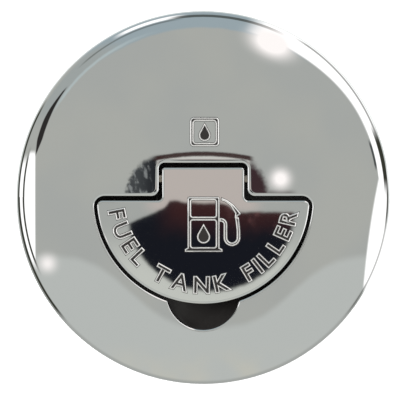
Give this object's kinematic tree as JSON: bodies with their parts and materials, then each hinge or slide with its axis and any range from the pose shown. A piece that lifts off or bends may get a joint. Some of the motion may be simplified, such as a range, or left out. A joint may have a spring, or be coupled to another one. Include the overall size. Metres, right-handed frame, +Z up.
{
  "type": "deck fill cap",
  "caption": "Round polished screw cap with a fold-down handle flap in a D-shaped recess, on a deck flange with a threaded neck and a barbed hose tail.",
  "frame": {"origin": "centre of the deck cut-out, on the deck's surface, where the gasket's underside rests", "axes": "+Z up out of the deck along the filler's axis, +Y from the cap's centre towards the flap's hinge, X along the hinge pin"},
  "size_m": [0.09, 0.09, 0.0733],
  "materials": {
    "polished_cover": "mirror polished",
    "polished_flap": "mirror polished",
    "cast_steel": "fine turned and polished casting",
    "tail_steel": "satin casting",
    "fastener_steel": "plain stainless",
    "brass": "turned",
    "black_nylon": "moulded, glass filled",
    "washer_nylon": "natural nylon",
    "seal_rubber": "nitrile rubber",
    "gasket_rubber": "moulded sheet",
    "pad_rubber": "matt"
  },
  "bodies": {
    "root": {"deck_flange": "cast_steel", "hose_tail": "tail_steel", "tail_oring": "seal_rubber", "deck_gasket": "gasket_rubber", "flange_screw_1": "fastener_steel", "flange_screw_2": "fastener_steel", "flange_screw_3": "fastener_steel", "flange_screw_4": "fastener_steel", "bond_screw": "fastener_steel", "bond_washer": "brass", "chain_anchor": "fastener_steel"},
    "swivel": {"swivel_eye": "fastener_steel"},
    "cap": {"cap_cover": "polished_cover", "cap_core": "black_nylon", "hinge_pin": "fastener_steel", "cap_oring": "seal_rubber", "rest_pad_left": "pad_rubber", "rest_pad_right": "pad_rubber", "swivel_insert": "brass", "swivel_washer": "washer_nylon", "swivel_screw": "fastener_steel"},
    "flap": {"flap": "polished_flap"}
  },
  "joints": [
    {"name": "cap_lift", "type": "slide", "parent": "root", "child": "swivel", "axis": [0, 0, 1], "range_m": [0, 0.0075]},
    {"name": "cap_turn", "type": "hinge", "parent": "swivel", "child": "cap", "pos_m": [0, 0, 0], "axis": [0, 0, 1], "range_deg": [0, 900]},
    {"name": "flap_fold", "type": "hinge", "parent": "cap", "child": "flap", "pos_m": [0, 0.0044, 0.0107], "axis": [-1, 0, 0], "range_deg": [0, 100]}
  ],
  "couplings": [
    {"joint": "cap_lift", "follows": "cap_turn", "m_per_rad": 0.00047746}
  ]
}
